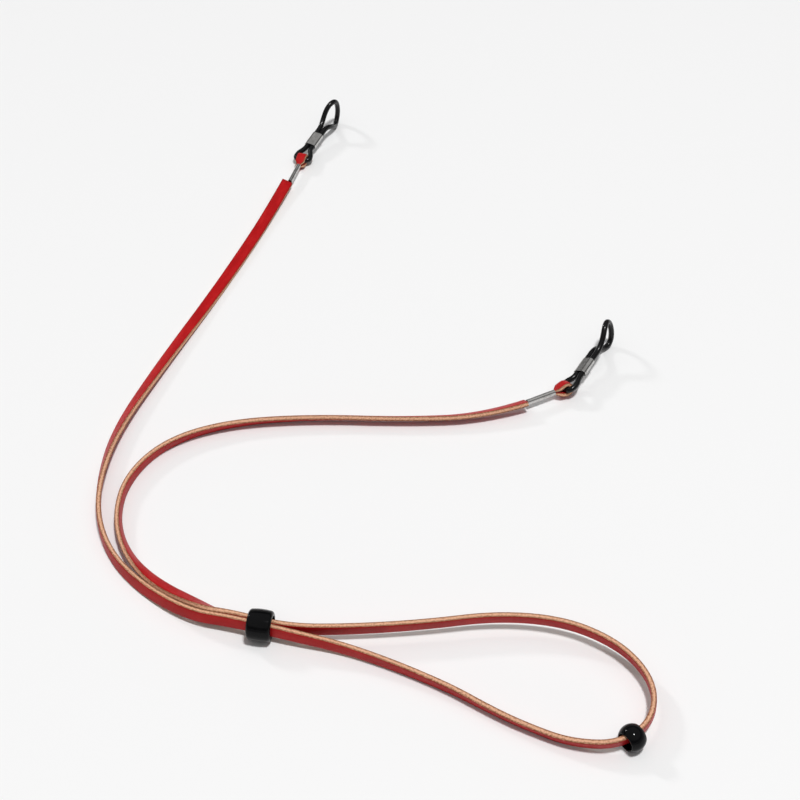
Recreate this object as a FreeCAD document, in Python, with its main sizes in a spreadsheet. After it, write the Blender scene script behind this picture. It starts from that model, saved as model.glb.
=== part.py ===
import FreeCAD, Part

# Eyeglass retainer strap: one long flat leather lace that lies on a table in a hanging-loop
# shape, with a metal ferrule, a rubber temple loop and a cinch tube at each end, a barrel
# slider bead round both strands and a round bead at the far end of the loop.
# Units are millimetres, +Z up, the table is z = 0.  The origin is the middle of the hardware.

import math
import os

import Sketcher

from FreeCAD import Placement, Rotation, Vector

DIMENSIONS = {
    "lace_width": 4.0,
    "lace_thickness": 1.5,
    "lace_end_width": 3.2,
    "ferrule_length": 10.0,
    "ferrule_corner": 0.8,
    "ferrule_span": 0.3,
    "metal_wall": 0.2,
    "fold_ply": 1.3,
    "fold_width": 3.1,
    "fold_neck_width": 0.9,
    "fold_neck_height": 1.08,
    "fold_reach": 13.9,
    "rubber_diameter": 1.86,
    "rubber_clearance": 0.09,
    "ring_half_width": 2.6,
    "ring_corner": 1.2,
    "leg_spacing": 2.0,
    "leg_offset": 7.0,
    "leg_length": 9.8,
    "temple_loop_length": 13.0,
    "temple_loop_reach": 5.4,
    "cinch_length": 6.3,
    "cinch_start": 7.5,
    "cinch_corner": 1.2,
    "slider_diameter": 9.2,
    "slider_length": 7.0,
    "slider_end_diameter": 8.5,
    "slider_shoulder": 1.0,
    "slider_bore": 6.0,
    "slider_rim_round": 0.3,
    "slider_turn": 7.5,
    "end_bead_diameter": 7.7,
    "end_bead_bore": 4.9,
    "end_bead_round": 0.3,
    "left_heading": 73.9,
    "left_roll": 0.0,
    "left_pitch": -7.8,
    "left_bend": -10.0,
    "left_twist": 90.0,
    "right_heading": 27.0,
    "right_roll": -22.0,
    "right_pitch": -18.3,
    "right_bend": 27.0,
    "right_twist": -72.0,
}

# The lace's route from the left ferrule, through the slider bead, round the loop with the
# end bead, back through the slider bead and on to the right ferrule.
ROUTE = [
    (-53.9, 100.8, 2.4),
    (-63.7, 74.2, 1.2),
    (-76.8, 40.9, 1.4),
    (-92.4, 3.4, 1.8),
    (-102.7, -23.1, 2.0),
    (-106.2, -43.0, 2.0),
    (-104.7, -59.3, 2.0),
    (-98.5, -74.4, 2.0),
    (-87.6, -86.6, 2.0),
    (-72.5, -97.4, 2.9),
    (-60.91, -100.55, 4.6),
    (-45.55, -105.03, 4.6),
    (-27.0, -108.6, 2.2),
    (-3.0, -119.0, 2.0),
    (13.0, -130.6, 2.0),
    (23.6, -136.6, 2.0),
    (32.6, -141.0, 2.5),
    (43.2, -141.9, 3.85),
    (51.7, -135.5, 3.85),
    (55.2, -125.4, 3.3),
    (53.2, -114.7, 3.1),
    (45.3, -105.1, 3.0),
    (31.8, -97.9, 3.0),
    (13.5, -96.0, 3.0),
    (-8.0, -99.5, 3.1),
    (-29.0, -101.5, 3.7),
    (-45.09, -103.45, 4.6),
    (-60.45, -98.97, 4.6),
    (-71.9, -95.4, 2.9),
    (-85.4, -85.6, 2.1),
    (-95.0, -74.5, 2.0),
    (-99.7, -59.6, 2.0),
    (-98.0, -43.4, 2.0),
    (-86.6, -29.3, 2.0),
    (-68.0, -20.8, 2.0),
    (-42.0, -18.1, 2.0),
    (-12.0, -19.1, 2.0),
    (12.0, -17.9, 1.9),
    (26.2, -12.5, 2.9),
]
LEFT_TWIST_END = 4
SLIDER_IN = 10
END_BEAD_RUN = 17
SLIDER_OUT = 26
RIGHT_TWIST_START = 36
ARC_SHARE = 0.45
SLIDER_SETBACK = 8.0

# Poles of half a temple loop, from a straight lead out of its leg to the tip: shares of the
# loop's length, of its reach to the side, and of its twist.
TEMPLE_LEAD = 0.12
TEMPLE_POLES = [
    (0.34, 0.36, 0.4),
    (0.58, 0.92, 0.85),
    (0.86, 1.0, 1.0),
    (1.0, 0.48, 1.0),
    (1.0, 0.0, 1.0),
]

# How far the lace's upper edge has turned up from lying flat, at each section of a twisted end:
# (share of the end's length, turn in degrees).
LEFT_TWIST = [(0.0, 0.0), (0.1, 2.0), (0.35, 12.0), (0.6, 34.0), (0.8, 62.0), (1.0, 90.0)]
RIGHT_TWIST = [(0.0, 90.0), (0.25, 98.0), (0.5, 118.0), (0.75, 142.0), (1.0, 158.0)]

UP = Vector(0, 0, 1)

doc = FreeCAD.newDocument("eyeglass_retainer_strap")
sheet = doc.addObject("Spreadsheet::Sheet", "dims")
for row, (alias, value) in enumerate(DIMENSIONS.items(), start=1):
    sheet.set("A%d" % row, alias)
    sheet.set("B%d" % row, str(value))
    sheet.setAlias("B%d" % row, alias)
doc.recompute()

pieces = []


def dim(alias):
    """Current value of a driving dimension."""
    return float(sheet.get(alias))


def keep(piece, name, placement=None):
    """Give a finished sub-part its node name and place, and put it on the export list."""
    piece.Label = name
    if placement is not None:
        piece.Placement = placement
    pieces.append(piece)
    return piece


def shape_piece(name, shape, placement=None):
    """Sub-part made directly from a shape."""
    piece = doc.addObject("Part::Feature", name)
    piece.Shape = shape
    return keep(piece, name, placement)


# Connector frames: X runs from the lace's end along the ferrule, Y is the leather's width.

def connector_frame(side, start):
    """Placement of one end's ferrule and fold."""
    heading = Rotation(UP, dim(side + "_heading"))
    roll = Rotation(Vector(1, 0, 0), dim(side + "_roll"))
    return Placement(start, heading.multiply(roll))


def rubber_frame(side, frame):
    """Placement of one end's rubber loop: its origin is the bar that the leather wraps."""
    pitch = Rotation(Vector(0, 1, 0), dim(side + "_pitch"))
    return frame.multiply(Placement(Vector(dim("fold_reach"), 0, 0), pitch))


def leg_frame(side):
    """Placement of the rubber loop's two straight legs, seen from the bar."""
    bend = dim(side + "_bend")
    reach = Rotation(UP, bend / 2).multVec(Vector(dim("leg_offset"), 0, 0))
    return Placement(reach, Rotation(UP, bend))


# Ferrules and cinch tubes: a pad of a stadium ring, made the same way.

def add_stadium(sketch, radius, span, upright):
    """Closed stadium about the sketch's origin, its long way along Y when upright."""
    first = sketch.GeometryCount
    turn = math.pi / 2 if upright else 0.0
    across = Vector(math.cos(turn), math.sin(turn), 0)
    side = Vector(-across.y, across.x, 0)
    reach = across * (dim(span) / 2)
    width = side * radius
    ends = [(reach, turn - math.pi / 2), (reach * -1, turn + math.pi / 2)]
    for centre, start in ends:
        circle = Part.Circle(centre, UP, radius)
        sketch.addGeometry(Part.ArcOfCircle(circle, start, start + math.pi), False)
    sketch.addGeometry(Part.LineSegment(reach + width, width - reach), False)
    sketch.addGeometry(Part.LineSegment(width * -1 - reach, reach - width), False)
    return first


def stadium_tube(name, corner, span, length, upright):
    """PartDesign body: a straight tube of stadium section that starts at the origin, along X."""
    body = doc.addObject("PartDesign::Body", name)
    sketch = body.newObject("Sketcher::SketchObject", name + "_section")
    plane = [p for p in body.Origin.OriginFeatures if p.Role == "YZ_Plane"][0]
    sketch.AttachmentSupport = [(plane, "")]
    sketch.MapMode = "FlatFace"
    walls = [(dim(corner), "dims.%s" % corner)]
    walls.append((dim(corner) - dim("metal_wall"), "dims.%s - dims.metal_wall" % corner))
    for size, formula in walls:
        first = add_stadium(sketch, size, span, upright)
        arc_a, arc_b, line_a, line_b = range(first, first + 4)
        sketch.addConstraint(Sketcher.Constraint("Tangent", arc_a, 2, line_a, 1))
        sketch.addConstraint(Sketcher.Constraint("Tangent", line_a, 2, arc_b, 1))
        sketch.addConstraint(Sketcher.Constraint("Tangent", arc_b, 2, line_b, 1))
        sketch.addConstraint(Sketcher.Constraint("Tangent", line_b, 2, arc_a, 1))
        sketch.addConstraint(Sketcher.Constraint("Symmetric", arc_a, 3, arc_b, 3, -1, 1))
        axis = -2 if upright else -1
        sketch.addConstraint(Sketcher.Constraint("PointOnObject", arc_a, 3, axis))
        kind = "DistanceY" if upright else "DistanceX"
        spacing = sketch.addConstraint(Sketcher.Constraint(kind, arc_b, 3, arc_a, 3, dim(span)))
        sketch.setExpression("Constraints[%d]" % spacing, "dims.%s" % span)
        radius = sketch.addConstraint(Sketcher.Constraint("Radius", arc_a, size))
        sketch.setExpression("Constraints[%d]" % radius, formula)
    pad = body.newObject("PartDesign::Pad", name + "_wall")
    pad.Profile = sketch
    pad.setExpression("Length", "dims.%s" % length)
    body.Tip = pad
    return body


# Leather fold: the lace's end doubled back through the rubber loop, its two plies in the ferrule.

def leather_fold(name):
    """Teardrop side view, cut to its plan outline, with the round seat for the rubber."""
    reach = dim("fold_reach")
    seat = dim("rubber_diameter") / 2 + dim("rubber_clearance")
    outer = seat + dim("fold_ply")
    half = dim("fold_neck_height") / 2
    neck_end = dim("ferrule_length") - 0.1
    corner = Vector(neck_end, 0, half)
    centre = Vector(reach, 0, 0)
    gap = centre - corner
    swing = math.asin(outer / gap.Length) + math.atan2(gap.z, gap.x)
    run = math.sqrt(gap.Length ** 2 - outer ** 2)
    touch = corner + Vector(math.cos(swing), 0, math.sin(swing)) * run
    low = Vector(touch.x, 0, -touch.z)
    points = [corner, Vector(0, 0, half), Vector(0, 0, -half), Vector(neck_end, 0, -half), low]
    edges = [Part.LineSegment(a, b).toShape() for a, b in zip(points, points[1:])]
    edges.append(Part.Arc(low, Vector(reach + outer, 0, 0), touch).toShape())
    edges.append(Part.LineSegment(touch, corner).toShape())
    side_face = Part.Face(Part.Wire(edges))
    wide = dim("fold_width")
    side = doc.addObject("Part::Feature", name + "_side")
    side.Shape = side_face.translated(Vector(0, -wide, 0)).extrude(Vector(0, 2 * wide, 0))
    plan_points = [
        (0, dim("fold_neck_width") / 2),
        (neck_end, dim("fold_neck_width") / 2),
        (neck_end + 1.3, wide / 2),
        (reach + outer + 1, wide / 2),
    ]
    outline = [Vector(x, y, -outer - 1) for x, y in plan_points]
    outline += [Vector(x, -y, -outer - 1) for x, y in reversed(plan_points)]
    plan = doc.addObject("Part::Feature", name + "_plan")
    plan_face = Part.Face(Part.makePolygon(outline + outline[:1]))
    plan.Shape = plan_face.extrude(Vector(0, 0, 2 * outer + 2))
    strap = doc.addObject("Part::MultiCommon", name + "_strap")
    strap.Shapes = [side, plan]
    hole = doc.addObject("Part::Cylinder", name + "_seat")
    hole.setExpression("Radius", "dims.rubber_diameter / 2 + dims.rubber_clearance")
    hole.setExpression("Height", "2 * dims.fold_width")
    hole.Placement = Placement(Vector(reach, wide, 0), Rotation(Vector(1, 0, 0), 90))
    fold = doc.addObject("Part::Cut", name)
    fold.Base = strap
    fold.Tool = hole
    return fold


# Rubber loop: half of it is a path of lines and tangent arcs, swept with a round section.

def tangent_arc(start, heading, end):
    """Arc from start, leaving along heading, to end."""
    chord = end - start
    side = heading.cross(chord)
    angle = math.atan2(side.z, heading.dot(chord))
    if abs(angle) < 1e-6:
        return Part.LineSegment(start, end).toShape()
    normal = Vector(chord.y, -chord.x, 0) * 0.5
    middle = start + chord * 0.5 + normal * math.tan(angle / 2)
    return Part.Arc(start, middle, end).toShape()


def two_arcs(start, start_heading, end, end_heading):
    """Two tangent arcs that join two points with given headings."""
    span = end - start
    total = start_heading + end_heading
    spread = 2 * (1 - start_heading.dot(end_heading))
    along = span.dot(total)
    if spread < 1e-6:
        reach = span.dot(span) / (2 * along)
    else:
        reach = (math.sqrt(along ** 2 + spread * span.dot(span)) - along) / spread
    middle = (start + end + (start_heading - end_heading) * reach) * 0.5
    first = tangent_arc(start, start_heading, middle)
    second = tangent_arc(end, end_heading * -1, middle)
    return [first, second]


def temple_curve(legs, sign, twist):
    """Smooth curve from one leg's end to the loop's tip, turned about the legs' axis as it goes."""
    start = dim("leg_length")
    length = dim("temple_loop_length")
    side = sign * dim("leg_spacing") / 2
    poles = [Vector(start, side, 0), Vector(start + TEMPLE_LEAD * length, side, 0)]
    for along, out, turned in TEMPLE_POLES:
        angle = math.radians(twist * turned)
        across = Vector(0, math.cos(angle), math.sin(angle))
        reach = sign * out * dim("temple_loop_reach")
        poles.append(Vector(start + along * length, 0, 0) + across * reach)
    curve = Part.BSplineCurve()
    curve.buildFromPoles([legs.multVec(pole) for pole in poles], False, 3)
    return curve.toShape()


def half_loop_path(side, sign):
    """Path from the middle of the bar to the tip of the temple loop, on one side."""
    legs = leg_frame(side)
    along = legs.Rotation.multVec(Vector(1, 0, 0))
    across = legs.Rotation.multVec(Vector(0, sign, 0))
    half = dim("ring_half_width")
    corner = dim("ring_corner")
    bar_end = Vector(0, sign * (half - corner), 0)
    ring_side = Vector(corner, sign * half, 0)
    bend = corner * (1 - math.sqrt(0.5))
    bend_middle = Vector(bend, sign * (half - bend), 0)
    leg_start = legs.Base + across * (dim("leg_spacing") / 2)
    leg_end = leg_start + along * dim("leg_length")
    edges = [Part.LineSegment(Vector(0, 0, 0), bar_end).toShape()]
    edges.append(Part.Arc(bar_end, bend_middle, ring_side).toShape())
    edges += two_arcs(ring_side, Vector(1, 0, 0), leg_start, along)
    edges.append(Part.LineSegment(leg_start, leg_end).toShape())
    edges.append(temple_curve(legs, sign, dim(side + "_twist")))
    return Part.Wire(edges)


def rubber_loop(name, side, placement):
    """The closed rubber loop of one end."""
    halves = []
    for sign in (1, -1):
        path = half_loop_path(side, sign)
        section = Part.Circle(Vector(0, 0, 0), Vector(0, 1, 0), dim("rubber_diameter") / 2)
        face = Part.Face(Part.Wire(section.toShape()))
        halves.append(path.makePipe(face))
    return shape_piece(name, halves[0].fuse(halves[1]).removeSplitter(), placement)


# Beads: an outline with rounded rims, turned round the bore's axis, X.

def add_outline(sketch, corners, arcs):
    """Closed outline: corners are its joints in order, arcs gives (index, centre, radius, first
    angle, last angle) of its curved sides; the other sides are lines."""
    curved = {index: data for index, *data in arcs}
    count = len(corners)
    for index in range(count):
        if index in curved:
            centre, radius, first, last = curved[index]
            circle = Part.Circle(centre, UP, radius)
            sketch.addGeometry(Part.ArcOfCircle(circle, first, last), False)
        else:
            line = Part.LineSegment(corners[index], corners[(index + 1) % count])
            sketch.addGeometry(line, False)
    for index in range(count):
        after = (index + 1) % count
        sketch.addConstraint(Sketcher.Constraint("Tangent", index, 2, after, 1))
    sketch.addConstraint(Sketcher.Constraint("Horizontal", 0))


def turned_bead(name, corners, arcs, sizes, placement):
    """PartDesign body: a bead turned from an outline whose first side is the bore.

    sizes is a list of (constraint, formula)."""
    body = doc.addObject("PartDesign::Body", name)
    sketch = body.newObject("Sketcher::SketchObject", name + "_outline")
    plane = [p for p in body.Origin.OriginFeatures if p.Role == "XY_Plane"][0]
    sketch.AttachmentSupport = [(plane, "")]
    sketch.MapMode = "FlatFace"
    add_outline(sketch, corners, arcs)
    for constraint, formula in sizes:
        index = sketch.addConstraint(constraint)
        sketch.setExpression("Constraints[%d]" % index, formula)
    turned = body.newObject("PartDesign::Revolution", name + "_turned")
    turned.Profile = sketch
    turned.ReferenceAxis = (sketch, ["H_Axis"])
    turned.Angle = 360.0
    body.Tip = turned
    return keep(body, name, placement)


def slider_bead(placement):
    """Barrel bead: flat ends, domed side."""
    half = dim("slider_length") / 2
    bore = dim("slider_bore") / 2
    soft = dim("slider_rim_round")
    shoulder = dim("slider_shoulder")
    rise = (dim("slider_diameter") - dim("slider_end_diameter")) / 2
    dome = (half ** 2 + rise ** 2) / (2 * rise)
    low = dim("slider_diameter") / 2 - dome
    rim = low + math.sqrt((dome - shoulder) ** 2 - (half - shoulder) ** 2)
    tilt = math.atan2(rim - low, half - shoulder)
    crest = Vector(dome * math.cos(tilt), low + dome * math.sin(tilt), 0)
    corners = [
        Vector(soft - half, bore, 0),
        Vector(half - soft, bore, 0),
        Vector(half, bore + soft, 0),
        Vector(half, rim, 0),
        crest,
        Vector(-crest.x, crest.y, 0),
        Vector(-half, rim, 0),
        Vector(-half, bore + soft, 0),
    ]
    arcs = [
        (1, Vector(half - soft, bore + soft, 0), soft, -math.pi / 2, 0),
        (3, Vector(half - shoulder, rim, 0), shoulder, 0, tilt),
        (4, Vector(0, low, 0), dome, tilt, math.pi - tilt),
        (5, Vector(shoulder - half, rim, 0), shoulder, math.pi - tilt, math.pi),
        (7, Vector(soft - half, bore + soft, 0), soft, math.pi, 1.5 * math.pi),
    ]
    sizes = [
        (Sketcher.Constraint("DistanceY", -1, 1, 0, 2, bore), "dims.slider_bore / 2"),
        (Sketcher.Constraint("Radius", 1, soft), "dims.slider_rim_round"),
        (Sketcher.Constraint("Radius", 3, shoulder), "dims.slider_shoulder"),
    ]
    return turned_bead("slider_bead", corners, arcs, sizes, placement)


def end_bead(placement):
    """Round bead."""
    ball = dim("end_bead_diameter") / 2
    bore = dim("end_bead_bore") / 2
    soft = dim("end_bead_round")
    reach = math.sqrt((ball - soft) ** 2 - (bore + soft) ** 2)
    tilt = math.atan2(bore + soft, reach)
    crest = Vector(ball * math.cos(tilt), ball * math.sin(tilt), 0)
    corners = [
        Vector(-reach, bore, 0),
        Vector(reach, bore, 0),
        crest,
        Vector(-crest.x, crest.y, 0),
    ]
    arcs = [
        (1, Vector(reach, bore + soft, 0), soft, -math.pi / 2, tilt),
        (2, Vector(0, 0, 0), ball, tilt, math.pi - tilt),
        (3, Vector(-reach, bore + soft, 0), soft, math.pi - tilt, 1.5 * math.pi),
    ]
    sizes = [
        (Sketcher.Constraint("DistanceY", -1, 1, 0, 2, bore), "dims.end_bead_bore / 2"),
        (Sketcher.Constraint("Radius", 1, soft), "dims.end_bead_round"),
        (Sketcher.Constraint("Radius", 2, ball), "dims.end_bead_diameter / 2"),
    ]
    return turned_bead("end_bead", corners, arcs, sizes, placement)


# Lace.

route = [Vector(*point) for point in ROUTE]


def route_arc(index):
    """Start, middle, end and radius of the arc at one inner point of the route."""
    before, point, after = route[index - 1], route[index], route[index + 1]
    back = before - point
    ahead = after - point
    reach = ARC_SHARE * min(back.Length, ahead.Length)
    back.normalize()
    ahead.normalize()
    half_turn = (math.pi - back.getAngle(ahead)) / 2
    radius = reach / math.tan(half_turn)
    inward = (back + ahead).normalize()
    middle = point + inward * (radius / math.cos(half_turn) - radius)
    return point + back * reach, middle, point + ahead * reach, radius


def route_edges(start, first, last, end):
    """Runs and arcs from start, round the inner points first to last, to end."""
    edges = []
    here = start
    for index in range(first, last + 1):
        arc_start, middle, arc_end, radius = route_arc(index)
        edges.append(Part.LineSegment(here, arc_start).toShape())
        edges.append(Part.Arc(arc_start, middle, arc_end).toShape())
        here = arc_end
    edges.append(Part.LineSegment(here, end).toShape())
    return edges


def lace_section(centre, forward, turn, width):
    """Rectangle across the lace; turn is how far its left edge has risen from lying flat."""
    left = UP.cross(forward).normalize()
    wide = left * math.cos(turn) + UP * math.sin(turn)
    thick = forward.cross(wide).normalize()
    wide = wide * (width / 2)
    thick = thick * (dim("lace_thickness") / 2)
    corners = [centre + wide + thick, centre - wide + thick]
    corners += [centre - wide - thick, centre + wide - thick]
    return Part.makePolygon(corners + corners[:1])


def lace_run(name, start, first, last, end):
    """A stretch of lace that stands on its edge along the route."""
    edges = route_edges(start, first, last, end)
    path = Part.Wire(edges)
    forward = (edges[0].Vertexes[1].Point - edges[0].Vertexes[0].Point).normalize()
    pipe = Part.BRepOffsetAPI.MakePipeShell(path)
    pipe.setBiNormalMode(UP)
    pipe.add(lace_section(start, forward, math.pi / 2, dim("lace_width")))
    pipe.build()
    pipe.makeSolid()
    solid = pipe.shape()
    section = dim("lace_width") * dim("lace_thickness")
    print("%s: length %.1f, volume %.1f, section x length %.1f"
          % (name, path.Length, solid.Volume, section * path.Length))
    return shape_piece(name, solid)


def lace_twist(name, start, first, last, end, twist, at_ferrule, ferrule_heading):
    """An end of the lace that turns from its edge to lying flat, through ruled sections.

    at_ferrule is the share of the length where the lace meets its ferrule, square to it."""
    path = Part.Wire(route_edges(start, first, last, end))
    points = path.discretize(Number=201)
    sections = []
    for share, turn in twist:
        index = int(round(share * 200))
        behind = points[max(index - 1, 0)]
        ahead = points[min(index + 1, 200)]
        width = dim("lace_width")
        forward = (ahead - behind).normalize()
        if share == at_ferrule:
            width = dim("lace_end_width")
            forward = ferrule_heading
        angle = math.radians(turn)
        height = width / 2 * math.sin(angle) + dim("lace_thickness") / 2 * abs(math.cos(angle))
        centre = Vector(points[index].x, points[index].y, max(points[index].z, height))
        sections.append(lace_section(centre, forward, angle, width))
    solid = Part.makeLoft(sections, True, True)
    section = dim("lace_width") * dim("lace_thickness")
    print("%s: length %.1f, volume %.1f, section x length %.1f"
          % (name, path.Length, solid.Volume, section * path.Length))
    return shape_piece(name, solid)


def run_middle(index):
    """Middle of the route's run that starts at one point."""
    return (route[index] + route[index + 1]) * 0.5


def make_lace():
    """The lace in five stretches, which meet face to face on straight runs."""
    cuts = [route[0], run_middle(LEFT_TWIST_END), run_middle(SLIDER_IN), run_middle(SLIDER_OUT)]
    cuts += [run_middle(RIGHT_TWIST_START - 1), route[-1]]
    out_of_left = connector_frame("left", route[0]).Rotation.multVec(Vector(-1, 0, 0))
    into_right = connector_frame("right", route[-1]).Rotation.multVec(Vector(1, 0, 0))
    last = len(route) - 2
    lace_twist("lace_left_end", cuts[0], 1, LEFT_TWIST_END, cuts[1],
               LEFT_TWIST, 0.0, out_of_left)
    lace_run("lace_left_arm", cuts[1], LEFT_TWIST_END + 1, SLIDER_IN, cuts[2])
    lace_run("lace_loop", cuts[2], SLIDER_IN + 1, SLIDER_OUT, cuts[3])
    lace_run("lace_right_arm", cuts[3], SLIDER_OUT + 1, RIGHT_TWIST_START - 1, cuts[4])
    lace_twist("lace_right_end", cuts[4], RIGHT_TWIST_START, last, cuts[5],
               RIGHT_TWIST, 1.0, into_right)


def bead_place(first, second):
    """Placement of a bead whose bore lies along a run between two points."""
    return Placement((first + second) * 0.5, Rotation(Vector(1, 0, 0), second - first))


make_lace()

slider_back = (route[SLIDER_IN] + route[SLIDER_OUT + 1]) * 0.5
slider_front = (route[SLIDER_IN + 1] + route[SLIDER_OUT]) * 0.5
slider_along = (slider_front - slider_back).normalize()
slider_centre = slider_back + slider_along * SLIDER_SETBACK
slider_facing = Rotation(UP, dim("slider_turn")).multiply(Rotation(Vector(1, 0, 0), slider_along))
slider_bead(Placement(slider_centre, slider_facing))
end_bead(bead_place(route[END_BEAD_RUN], route[END_BEAD_RUN + 1]))

for side, start in (("left", route[0]), ("right", route[-1])):
    frame = connector_frame(side, start)
    ferrule = stadium_tube(side + "_ferrule", "ferrule_corner", "ferrule_span", "ferrule_length", True)
    keep(ferrule, side + "_ferrule", frame)
    keep(leather_fold(side + "_end_fold"), side + "_end_fold", frame)
    rubber = rubber_frame(side, frame)
    rubber_loop(side + "_rubber_loop", side, rubber)
    cinch = stadium_tube(side + "_cinch_tube", "cinch_corner", "leg_spacing", "cinch_length", False)
    slide_in = Placement(Vector(dim("cinch_start") - dim("leg_offset"), 0, 0), Rotation())
    keep(cinch, side + "_cinch_tube", rubber.multiply(leg_frame(side)).multiply(slide_in))

doc.recompute()

for index in range(1, len(route) - 1):
    print("route point %d: radius %.1f" % (index, route_arc(index)[3]))

for item in doc.Objects:
    if "Invalid" in item.State or "Error" in item.State:
        raise RuntimeError("%s did not recompute: %s" % (item.Name, item.State))
for piece in pieces:
    if piece.Shape.isNull() or not piece.Shape.isValid():
        raise RuntimeError("%s has no valid shape" % piece.Label)

os.makedirs("parts", exist_ok=True)
for piece in pieces:
    piece.Shape.exportStep("parts/%s.step" % piece.Label)
    box = piece.Shape.BoundBox
    print("%s: %.1f..%.1f, %.1f..%.1f, %.2f..%.2f, volume %.1f, solids %d"
          % (piece.Label, box.XMin, box.XMax, box.YMin, box.YMax, box.ZMin, box.ZMax,
             piece.Shape.Volume, len(piece.Shape.Solids)))
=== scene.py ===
"""Eyeglass retainer strap: a red leather lace with connectors and beads, on a pale table."""

import math

import bpy
from mathutils import Matrix, Vector


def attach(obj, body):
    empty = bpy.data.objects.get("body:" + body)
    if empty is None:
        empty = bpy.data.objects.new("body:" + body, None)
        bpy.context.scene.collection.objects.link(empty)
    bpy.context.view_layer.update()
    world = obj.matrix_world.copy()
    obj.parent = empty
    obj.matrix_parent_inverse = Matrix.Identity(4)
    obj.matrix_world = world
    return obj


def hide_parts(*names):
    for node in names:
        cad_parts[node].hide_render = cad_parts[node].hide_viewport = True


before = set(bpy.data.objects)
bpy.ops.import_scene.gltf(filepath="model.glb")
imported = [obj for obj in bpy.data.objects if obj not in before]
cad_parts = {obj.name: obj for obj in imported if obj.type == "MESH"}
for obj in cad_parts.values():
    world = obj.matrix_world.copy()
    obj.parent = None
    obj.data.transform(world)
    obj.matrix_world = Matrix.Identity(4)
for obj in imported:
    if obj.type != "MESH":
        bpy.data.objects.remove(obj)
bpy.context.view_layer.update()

MM = 0.001
UP = Vector((0, 0, 1))
scene = bpy.context.scene


# Camera.

CAMERA_PLACE = (-0.014, -0.40094, 0.39244)
CAMERA_TILT = 45.0
CAMERA_LENS = 78.3
SENSOR_WIDTH = 36.0


def make_camera():
    """Camera in front of the strap, looking down at it."""
    data = bpy.data.cameras.new("camera")
    data.lens = CAMERA_LENS
    data.sensor_width = SENSOR_WIDTH
    camera = bpy.data.objects.new("camera", data)
    camera.location = CAMERA_PLACE
    camera.rotation_euler = (math.radians(CAMERA_TILT), 0, 0)
    scene.collection.objects.link(camera)
    scene.camera = camera


make_camera()


# The lace's route, in metres, from the left ferrule through the slider bead, round the loop with
# the end bead, back through the slider bead and to the right ferrule.  The fourth number is how
# far the lace's left edge has risen from lying flat, in degrees: at 90 it stands on its edge.

ROUTE = [
    (-0.0549, 0.1007, 0.0024, -18),
    (-0.0637, 0.0742, 0.0009, -18),
    (-0.0768, 0.0409, 0.0008, 0),
    (-0.0924, 0.0034, 0.0011, 20),
    (-0.1023, -0.0231, 0.0020, 40),
    (-0.1051, -0.0430, 0.0020, 70),
    (-0.1041, -0.0593, 0.0020, 90),
    (-0.0986, -0.0746, 0.0020, 82),
    (-0.0881, -0.0868, 0.0021, 76),
    (-0.0736, -0.0975, 0.0038, 82),
    (-0.06091, -0.10045, 0.0045, 86),
    (-0.04555, -0.10503, 0.0046, 88),
    (-0.0270, -0.1090, 0.0026, 94),
    (-0.0030, -0.1198, 0.0020, 102),
    (0.0130, -0.1303, 0.0019, 112),
    (0.0236, -0.1358, 0.0019, 112),
    (0.0326, -0.1396, 0.0026, 110),
    (0.0432, -0.1409, 0.00385, 106),
    (0.0517, -0.1355, 0.00385, 95),
    (0.0552, -0.1261, 0.0036, 84),
    (0.0529, -0.1167, 0.0041, 77),
    (0.0452, -0.1079, 0.0047, 79),
    (0.0318, -0.1010, 0.0050, 79),
    (0.0135, -0.0990, 0.0050, 79),
    (-0.0080, -0.1020, 0.0047, 80),
    (-0.0290, -0.1034, 0.0045, 84),
    (-0.04509, -0.10345, 0.0046, 88),
    (-0.0602, -0.0992, 0.0048, 94),
    (-0.0703, -0.0951, 0.0047, 32),
    (-0.0843, -0.0849, 0.0016, 22),
    (-0.0937, -0.0744, 0.0018, 57),
    (-0.0985, -0.0602, 0.0020, 84),
    (-0.0970, -0.0441, 0.0020, 91),
    (-0.0866, -0.0292, 0.0021, 107),
    (-0.0680, -0.0208, 0.0021, 119),
    (-0.0420, -0.0181, 0.0021, 130),
    (-0.0120, -0.0191, 0.0021, 136),
    (0.0120, -0.0179, 0.0021, 143),
    (0.0259, -0.0127, 0.0029, 148),
]
LACE_WIDTH = 0.0040
LACE_THICKNESS = 0.0015
GUIDE_STEPS = 24
QUARTER_TURN = 90


def spline_points(points, steps=GUIDE_STEPS):
    """Points of the NURBS spline that has these control points."""
    curve = bpy.data.curves.new("guide", "CURVE")
    curve.dimensions = "3D"
    curve.resolution_u = steps
    spline = curve.splines.new("NURBS")
    spline.points.add(len(points) - 1)
    for target, point in zip(spline.points, points):
        target.co = (point[0], point[1], point[2], 1.0)
    spline.order_u = 3
    spline.use_endpoint_u = True
    guide = bpy.data.objects.new("guide", curve)
    scene.collection.objects.link(guide)
    mesh = bpy.data.meshes.new_from_object(guide)
    line = [vertex.co.copy() for vertex in mesh.vertices]
    bpy.data.objects.remove(guide)
    bpy.data.curves.remove(curve)
    bpy.data.meshes.remove(mesh)
    return line


def direction_at(line, index):
    """Unit direction of a line of points at one of them."""
    behind = line[max(index - 1, 0)]
    ahead = line[min(index + 1, len(line) - 1)]
    return (ahead - behind).normalized()


# Leather strip: rings of a rounded rectangle, with the raw edges as a second material.  Its corner
# radius and the crown of its sides are in metres, and the radius takes no more than CORNER_LIMIT of
# half the thickness.  Every ring has the same sides in the same order.

CORNER = 0.00022
CORNER_LIMIT = 0.4
CROWN = 0.00005
FACE_PARTS = 6
EDGE_PARTS = 5
CORNER_PARTS = 2
SECTION_POINTS = 2 * (FACE_PARTS + EDGE_PARTS) + 4 * CORNER_PARTS
LEATHER_FACE = 0
LEATHER_EDGE = 1


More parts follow.
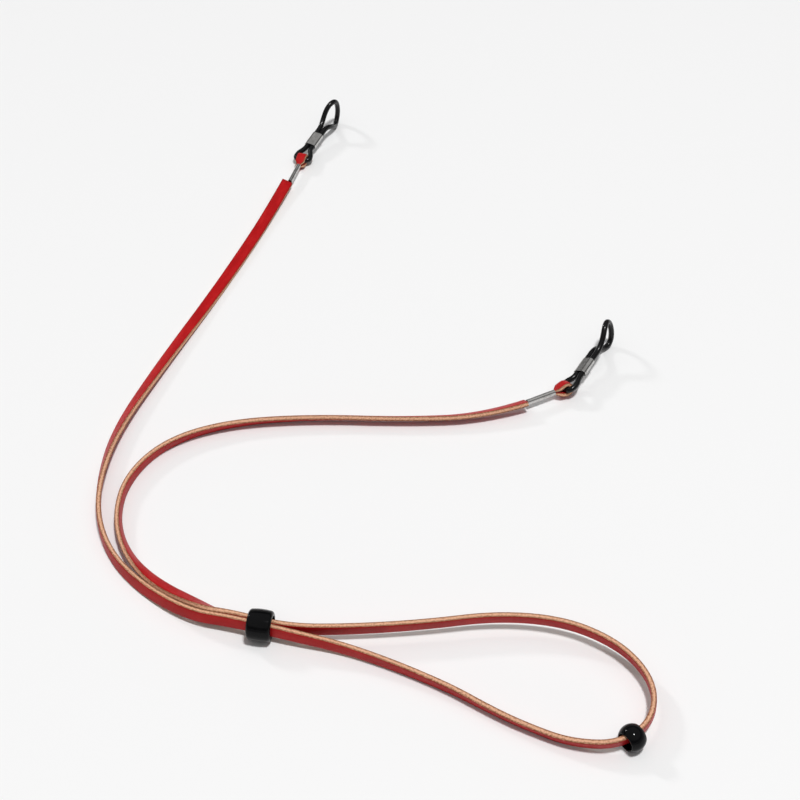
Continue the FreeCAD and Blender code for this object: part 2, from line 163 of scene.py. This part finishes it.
def strip_section(width, thickness):
    """Points of the section and the material of the side that follows each: (across, up, side)."""
    half_width = width / 2
    half_thick = thickness / 2
    corner = min(CORNER, half_thick * CORNER_LIMIT)
    flat = half_width - corner
    rise = half_thick - corner
    section = []
    for quarter, sign in ((0, 1), (1, 1), (2, -1), (3, -1)):
        along_edge = quarter % 2 == 0
        parts = EDGE_PARTS if along_edge else FACE_PARTS
        for part in range(parts):
            share = part / parts
            reach = 2 * share - 1
            bulge = CROWN * (1 - reach ** 2)
            if along_edge:
                section.append((sign * (half_width + bulge), sign * rise * reach, LEATHER_EDGE))
            else:
                section.append((-sign * flat * reach, sign * (half_thick + bulge), LEATHER_FACE))
        corner_x = flat if quarter in (0, 3) else -flat
        corner_y = rise if quarter in (0, 1) else -rise
        first = quarter * math.pi / 2
        for part in range(CORNER_PARTS):
            angle = first + part / CORNER_PARTS * math.pi / 2
            section.append((
                corner_x + corner * math.cos(angle),
                corner_y + corner * math.sin(angle),
                LEATHER_EDGE if (part < CORNER_PARTS / 2) == along_edge else LEATHER_FACE,
            ))
    return section


def strip_coordinates(section, along):
    """Millimetres along the strip and round its section, at each point and at the first again."""
    coordinates = []
    perimeter = 0.0
    for number, (x, y, side) in enumerate(section):
        coordinates.append((along / MM, perimeter / MM))
        next_x, next_y, next_side = section[(number + 1) % SECTION_POINTS]
        perimeter += math.hypot(next_x - x, next_y - y)
    coordinates.append((along / MM, perimeter / MM))
    return coordinates


def make_strip(name, rings, materials):
    """Leather strip through rings of (centre, across, up, width, thickness)."""
    vertices = []
    section_spots = []
    ring_coordinates = []
    along = 0.0
    for index, (centre, across, up, width, thickness) in enumerate(rings):
        if index:
            along += (centre - rings[index - 1][0]).length
        section = strip_section(width, thickness)
        ring_coordinates.append(strip_coordinates(section, along))
        for x, y, side in section:
            vertices.append(tuple(centre + across * x + up * y))
            section_spots.append((x / width + 0.5, y / thickness + 0.5))
    # Each face is its corners' vertices, their places along and round the strip, and its side.
    faces = []
    for index in range(1, len(rings)):
        low = (index - 1) * SECTION_POINTS
        high = index * SECTION_POINTS
        before = ring_coordinates[index - 1]
        after = ring_coordinates[index]
        for number, (x, y, side) in enumerate(section):
            ahead = (number + 1) % SECTION_POINTS
            corners = (low + number, low + ahead, high + ahead, high + number)
            places = (before[number], before[number + 1], after[number + 1], after[number])
            faces.append((corners, places, side))
    first_cap = list(reversed(range(SECTION_POINTS)))
    faces.append((first_cap, [ring_coordinates[0][number] for number in first_cap], LEATHER_EDGE))
    last_start = (len(rings) - 1) * SECTION_POINTS
    last_cap = list(range(last_start, last_start + SECTION_POINTS))
    faces.append((last_cap, ring_coordinates[-1][:SECTION_POINTS], LEATHER_EDGE))

    mesh = bpy.data.meshes.new(name)
    mesh.from_pydata(vertices, [], [corners for corners, places, side in faces])
    for material in materials:
        mesh.materials.append(material)
    strip_layer = mesh.uv_layers.new(name="strip")
    section_layer = mesh.uv_layers.new(name="section")
    for polygon, (corners, places, side) in zip(mesh.polygons, faces):
        polygon.material_index = side
        polygon.use_smooth = len(corners) < SECTION_POINTS
        for loop, corner, place in zip(polygon.loop_indices, corners, places):
            strip_layer.data[loop].uv = place
            section_layer.data[loop].uv = section_spots[corner]
    mesh.update()
    piece = bpy.data.objects.new(name, mesh)
    scene.collection.objects.link(piece)
    return piece


# Material building blocks.

def new_material(name):
    """New material, its node tree and its main shader."""
    material = bpy.data.materials.new(name)
    material.use_nodes = True
    tree = material.node_tree
    shader = next(made for made in tree.nodes if made.type == "BSDF_PRINCIPLED")
    return material, tree, shader


def set_input(tree, socket, value):
    """Give an input its value, or link it if the value is another node's output."""
    if isinstance(value, bpy.types.NodeSocket):
        tree.links.new(value, socket)
    else:
        socket.default_value = value


def set_inputs(tree, made, **inputs):
    """Give a node's inputs their values, by name with _ for a space."""
    for key, value in inputs.items():
        set_input(tree, made.inputs[key.replace("_", " ")], value)


def node(tree, kind, **inputs):
    """New node with these inputs."""
    made = tree.nodes.new(kind)
    set_inputs(tree, made, **inputs)
    return made


def stretched(tree, coordinates, scale):
    """Coordinates scaled along each axis."""
    mapping = node(tree, "ShaderNodeMapping", Vector=coordinates, Scale=scale)
    return mapping.outputs["Vector"]


def noise(tree, coordinates, scale, detail, roughness):
    """Noise value, from 0 to 1."""
    made = node(tree, "ShaderNodeTexNoise", Vector=coordinates, Scale=scale, Detail=detail,
                Roughness=roughness)
    return made.outputs["Fac"]


def ramp(tree, factor, stops):
    """Colour ramp: stops are (position, colour)."""
    made = node(tree, "ShaderNodeValToRGB", Fac=factor)
    elements = made.color_ramp.elements
    while len(elements) < len(stops):
        elements.new(1.0)
    for element, (position, colour) in zip(elements, stops):
        element.position = position
        element.color = (*colour, 1.0)
    return made.outputs["Color"]


def level(tree, factor, low, high, start=0.0, end=1.0):
    """Factor mapped from low..high to start..end, and kept within them."""
    made = node(tree, "ShaderNodeMapRange", Value=factor, From_Min=low, From_Max=high,
                To_Min=start, To_Max=end)
    return made.outputs["Result"]


# The mix node has inputs and outputs for other kinds of value under the same names, so those for
# colours are given by number.

MIX_FACTOR = 0
MIX_FIRST = 6
MIX_SECOND = 7
MIX_RESULT = 2


def blend_colours(tree, factor, first, second):
    """Mix of two colours; each is a colour or a socket."""
    made = tree.nodes.new("ShaderNodeMix")
    made.data_type = "RGBA"
    set_input(tree, made.inputs[MIX_FACTOR], factor)
    for index, colour in ((MIX_FIRST, first), (MIX_SECOND, second)):
        if isinstance(colour, tuple):
            colour = (*colour, 1.0)
        set_input(tree, made.inputs[index], colour)
    return made.outputs[MIX_RESULT]


def maths(tree, kind, first, second=0.0):
    """Maths node's value."""
    made = tree.nodes.new("ShaderNodeMath")
    made.operation = kind
    set_input(tree, made.inputs[0], first)
    set_input(tree, made.inputs[1], second)
    return made.outputs["Value"]


def bump(tree, height, strength, distance, under=None):
    """Bump normal from a height, over another normal if there is one."""
    made = node(tree, "ShaderNodeBump", Height=height, Strength=strength, Distance=distance)
    if under is not None:
        set_inputs(tree, made, Normal=under)
    return made.outputs["Normal"]


# Leather.  The strip carries two sets of coordinates: millimetres along it and round its section,
# and the place in its section, from 0 to 1 across its width and across its thickness.

def uv_coordinates(tree, layer):
    """One of the strip's sets of coordinates."""
    made = tree.nodes.new("ShaderNodeUVMap")
    made.uv_map = layer
    return made.outputs["UV"]


def rim_share(tree, axis, inner, outer):
    """0 in the middle of the section, 1 at its rim, along one axis of the section."""
    parts = node(tree, "ShaderNodeSeparateXYZ", Vector=uv_coordinates(tree, "section"))
    away = maths(tree, "ABSOLUTE", maths(tree, "SUBTRACT", parts.outputs[axis], 0.5))
    return level(tree, away, inner, outer)


LEATHER_REDS = [
    (0.28, (0.370, 0.0022, 0.0050)),
    (0.50, (0.460, 0.0032, 0.0066)),
    (0.72, (0.540, 0.0120, 0.0140)),
]
PORE_RED = (0.210, 0.0020, 0.0040)
# The lighter salmon red that follows is partly rubbed wear and partly painted sheen.
RUBBED_AND_SHEEN_RED = (0.560, 0.0400, 0.0360)
RIM_RED = (0.150, 0.0060, 0.0060)
RIM_STRENGTH = 0.40
PORES_PER_MM = 3.2
CORE_TANS = [
    (0.25, (0.520, 0.240, 0.125)),
    (0.50, (0.760, 0.420, 0.260)),
    (0.78, (0.860, 0.560, 0.390)),
]
SPECKLE_BROWN = (0.230, 0.075, 0.035)
SKIN_BROWN = (0.200, 0.075, 0.028)


def leather_face_material():
    """Dyed smooth leather: red, with fine pores, creases, lighter patches that are partly rubbed
    wear and partly painted sheen, and darker rims.
    """
    material, tree, shader = new_material("red_leather_face")
    spot = uv_coordinates(tree, "strip")
    patches = noise(tree, stretched(tree, spot, (0.10, 0.35, 1.0)), scale=1.0, detail=4.0,
                    roughness=0.6)
    creases = noise(tree, stretched(tree, spot, (1.6, 0.5, 1.0)), scale=1.4, detail=6.0,
                    roughness=0.65)
    cells = node(tree, "ShaderNodeTexVoronoi", Vector=spot, Scale=PORES_PER_MM)
    cells.feature = "DISTANCE_TO_EDGE"
    pores = cells.outputs["Distance"]

    colour = ramp(tree, patches, LEATHER_REDS)
    dark = level(tree, pores, low=0.0, high=0.12, start=0.45, end=0.0)
    colour = blend_colours(tree, dark, colour, PORE_RED)
    # Lighter salmon patches where the creases run high: partly rubbed wear, partly painted sheen.
    rubbed_and_sheen = level(tree, creases, low=0.58, high=0.80, start=0.0, end=0.26)
    colour = blend_colours(tree, rubbed_and_sheen, colour, RUBBED_AND_SHEEN_RED)
    rim = maths(tree, "MULTIPLY", rim_share(tree, "X", inner=0.36, outer=0.49), RIM_STRENGTH)
    colour = blend_colours(tree, rim, colour, RIM_RED)

    shine = level(tree, creases, low=0.30, high=0.75, start=0.36, end=0.54)
    normal = bump(tree, pores, strength=0.35, distance=0.00006)
    normal = bump(tree, creases, strength=0.30, distance=0.00018, under=normal)
    set_inputs(
        tree, shader,
        Base_Color=colour,
        Roughness=shine,
        Normal=normal,
        Specular_IOR_Level=0.20,
        Specular_Tint=(1.0, 0.75, 0.60, 1.0),
        Sheen_Weight=0.03,
        Sheen_Roughness=0.35,
        Sheen_Tint=(1.0, 0.50, 0.45, 1.0),
    )
    return material


def leather_edge_material():
    """Raw cut edge: tan fibres between the two darker, speckled skins."""
    material, tree, shader = new_material("raw_leather_edge")
    spot = uv_coordinates(tree, "strip")
    fibres = noise(tree, stretched(tree, spot, (0.9, 5.0, 1.0)), scale=1.5, detail=6.0,
                   roughness=0.7)
    speckle = noise(tree, stretched(tree, spot, (1.0, 1.3, 1.0)), scale=1.6, detail=4.0,
                    roughness=0.80)

    core = ramp(tree, fibres, CORE_TANS)
    dark = level(tree, speckle, low=0.50, high=0.62, start=0.0, end=0.70)
    colour = blend_colours(tree, dark, core, SPECKLE_BROWN)
    skins = rim_share(tree, "Y", inner=0.15, outer=0.29)
    ragged = level(tree, speckle, low=0.40, high=0.54, start=0.35, end=1.0)
    colour = blend_colours(tree, maths(tree, "MULTIPLY", skins, ragged), colour, SKIN_BROWN)

    normal = bump(tree, fibres, strength=0.45, distance=0.00012)
    normal = bump(tree, speckle, strength=0.35, distance=0.00010, under=normal)
    set_inputs(
        tree, shader,
        Base_Color=colour,
        Roughness=0.70,
        Normal=normal,
        Specular_IOR_Level=0.30,
    )
    return material


leather = [leather_face_material(), leather_edge_material()]


# Lace.

def lace_rings():
    """Rings of the lace along its route, each kept on or above the table.

    The turns follow a spline of their own, in step with the route's."""
    line = spline_points([point[:3] for point in ROUTE])
    turns = spline_points([(index, point[3] / QUARTER_TURN, 0) for index, point in enumerate(ROUTE)])
    rings = []
    for index, centre in enumerate(line):
        forward = direction_at(line, index)
        turn = math.radians(turns[index].y * QUARTER_TURN)
        left = UP.cross(forward).normalized()
        across = left * math.cos(turn) + UP * math.sin(turn)
        up = forward.cross(across).normalized()
        reach = LACE_WIDTH / 2 * abs(across.z) + LACE_THICKNESS / 2 * abs(up.z)
        centre = Vector((centre.x, centre.y, max(centre.z, reach)))
        rings.append((centre, across, up, LACE_WIDTH, LACE_THICKNESS))
    return rings


rings = lace_rings()
lace = make_strip("lace", rings, leather)
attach(lace, "strap")
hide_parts("lace_left_end", "lace_left_arm", "lace_loop", "lace_right_arm",
            "lace_right_end")


# The lace's folded ends, which hold the rubber loops.  A ferrule is given by its mouth in metres,
# and by its heading and roll in degrees.  The fold's path is in millimetres, along the ferrule's
# axis from its mouth and above it.  The fold is FOLD_NECK wide and FOLD_SKIVED thick as far as
# FOLD_NECK_END, and reaches FOLD_WIDE and FOLD_PLY within FOLD_TAPER.

FERRULES = {
    "left": ((-0.0539, 0.1008, 0.0024), 73.9, 0.0),
    "right": ((0.0262, -0.0125, 0.0029), 27.0, -22.0),
}
FOLD_PATH = [
    (8.6, 0.26),
    (9.9, 0.28),
    (13.21, 1.668),
    (14.59, 1.668),
    (15.57, 0.69),
    (15.57, -0.69),
    (14.59, -1.668),
    (13.21, -1.668),
    (9.9, -0.28),
    (8.6, -0.26),
]
FOLD_WIDE = 3.3
FOLD_NECK = 0.95
FOLD_PLY = 1.25
FOLD_SKIVED = 0.5
FOLD_NECK_END = 9.9
FOLD_TAPER = 1.6
FOLD_STEPS = 10


def make_fold(side):
    """One end of the lace, doubled back round the rubber loop's bar and thin inside the ferrule."""
    mouth, heading, roll = FERRULES[side]
    turn = Matrix.Rotation(math.radians(heading), 3, "Z")
    turn = turn @ Matrix.Rotation(math.radians(roll), 3, "X")
    line = spline_points([(x * MM, 0, z * MM) for x, z in FOLD_PATH], FOLD_STEPS)
    fold_rings = []
    for index, spot in enumerate(line):
        forward = direction_at(line, index)
        share = min(max((spot.x / MM - FOLD_NECK_END) / FOLD_TAPER, 0.0), 1.0)
        width = (FOLD_NECK + (FOLD_WIDE - FOLD_NECK) * share) * MM
        ply = (FOLD_SKIVED + (FOLD_PLY - FOLD_SKIVED) * share) * MM
        across = Vector((0, 1, 0))
        up = forward.cross(across)
        centre = turn @ spot + Vector(mouth)
        fold_rings.append((centre, turn @ across, turn @ up, width, ply))
    fold = make_strip(side + "_fold", fold_rings, leather)
    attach(fold, "strap")
    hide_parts(side + "_end_fold")
    return fold


folds = [make_fold(side) for side in FERRULES]


# Materials of the CAD nodes that stay as they are.

NICKEL_GREYS = [
    (0.30, (0.430, 0.415, 0.400)),
    (0.60, (0.620, 0.610, 0.595)),
]
RUBBER_BLACKS = [
    (0.35, (0.0025, 0.0025, 0.0028)),
    (0.70, (0.0070, 0.0070, 0.0075)),
]
BEAD_BLACKS = [
    (0.35, (0.0025, 0.0025, 0.0028)),
    (0.70, (0.0050, 0.0050, 0.0055)),
]


def object_coordinates(tree):
    """Coordinates of the piece itself, in metres."""
    return tree.nodes.new("ShaderNodeTexCoord").outputs["Object"]


def nickel_material():
    """Plated metal with fine drawing marks and faint tarnish."""
    material, tree, shader = new_material("silver_nickel")
    spot = object_coordinates(tree)
    marks = noise(tree, spot, scale=5200.0, detail=3.0, roughness=0.6)
    tarnish = noise(tree, spot, scale=420.0, detail=4.0, roughness=0.6)
    set_inputs(
        tree, shader,
        Base_Color=ramp(tree, tarnish, NICKEL_GREYS),
        Metallic=1.0,
        Roughness=level(tree, tarnish, low=0.3, high=0.7, start=0.26, end=0.16),
        Normal=bump(tree, marks, strength=0.10, distance=0.00002),
    )
    return material


def rubber_material():
    """Black rubber cord, satin, with a faint dusty bloom."""
    material, tree, shader = new_material("black_rubber")
    bloom = noise(tree, object_coordinates(tree), scale=900.0, detail=4.0, roughness=0.6)
    set_inputs(
        tree, shader,
        Base_Color=ramp(tree, bloom, RUBBER_BLACKS),
        Roughness=level(tree, bloom, low=0.3, high=0.7, start=0.16, end=0.26),
        Normal=bump(tree, bloom, strength=0.12, distance=0.00005),
        Specular_IOR_Level=0.25,
    )
    return material


def bead_material():
    """Glossy black plastic with very faint moulding ripple."""
    material, tree, shader = new_material("black_bead")
    ripple = noise(tree, object_coordinates(tree), scale=260.0, detail=2.0, roughness=0.5)
    set_inputs(
        tree, shader,
        Base_Color=ramp(tree, ripple, BEAD_BLACKS),
        Roughness=level(tree, ripple, low=0.3, high=0.7, start=0.05, end=0.10),
        Normal=bump(tree, ripple, strength=0.05, distance=0.00010),
        Specular_IOR_Level=0.12,
    )
    return material


def dress(names, material):
    """Give CAD nodes a material."""
    for name in names:
        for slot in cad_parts[name].material_slots:
            slot.material = material


dress(["left_ferrule", "right_ferrule", "left_cinch_tube", "right_cinch_tube"], nickel_material())
dress(["left_rubber_loop", "right_rubber_loop"], rubber_material())
dress(["slider_bead", "end_bead"], bead_material())


# Table, light and background.

FLOOR_SIZE = 12.0
TABLE_COLOUR = (0.86, 0.86, 0.86, 1.0)
LIGHT_TARGET = (-0.02, -0.03, 0.0)
WORLD_STRENGTH = 0.42
STUDIO_BANDS = [(0.24, 0.80), (0.30, 0.08), (0.50, 0.08), (0.62, 1.0)]


def make_floor():
    """Plain pale table top with a slight gloss."""
    half = FLOOR_SIZE / 2
    mesh = bpy.data.meshes.new("floor")
    mesh.from_pydata([(-half, -half, 0), (half, -half, 0), (half, half, 0), (-half, half, 0)],
                     [], [(0, 1, 2, 3)])
    material, tree, shader = new_material("pale_table")
    set_inputs(tree, shader, Base_Color=TABLE_COLOUR, Roughness=0.45, Specular_IOR_Level=0.15)
    mesh.materials.append(material)
    floor = bpy.data.objects.new("floor", mesh)
    scene.collection.objects.link(floor)


def make_light(name, place, size, power):
    """Square area light that points at the strap."""
    data = bpy.data.lights.new(name, "AREA")
    data.shape = "SQUARE"
    data.size = size
    data.energy = power
    light = bpy.data.objects.new(name, data)
    light.location = place
    aim = Vector(LIGHT_TARGET) - Vector(place)
    light.rotation_euler = aim.to_track_quat("-Z", "Y").to_euler()
    scene.collection.objects.link(light)


def make_world():
    """Studio surroundings: pale low down, a dark band above, and white overhead.

    Each of STUDIO_BANDS is a height, 0 level with the eye and 1 overhead, and the grey there."""
    world = bpy.data.worlds.new("studio")
    world.use_nodes = True
    tree = world.node_tree
    background = tree.nodes["Background"]
    spot = tree.nodes.new("ShaderNodeTexCoord").outputs["Generated"]
    height = node(tree, "ShaderNodeSeparateXYZ", Vector=spot).outputs["Z"]
    shade = ramp(tree, height, [(rise, (grey, grey, grey)) for rise, grey in STUDIO_BANDS])
    set_inputs(tree, background, Color=shade, Strength=WORLD_STRENGTH)
    scene.world = world


make_floor()
make_world()
make_light("key", place=(-1.97, 1.67, 1.50), size=0.32, power=15.0)
make_light("overhead", place=(0.46, -0.51, 3.21), size=0.375, power=75.0)
scene.view_settings.view_transform = "Standard"
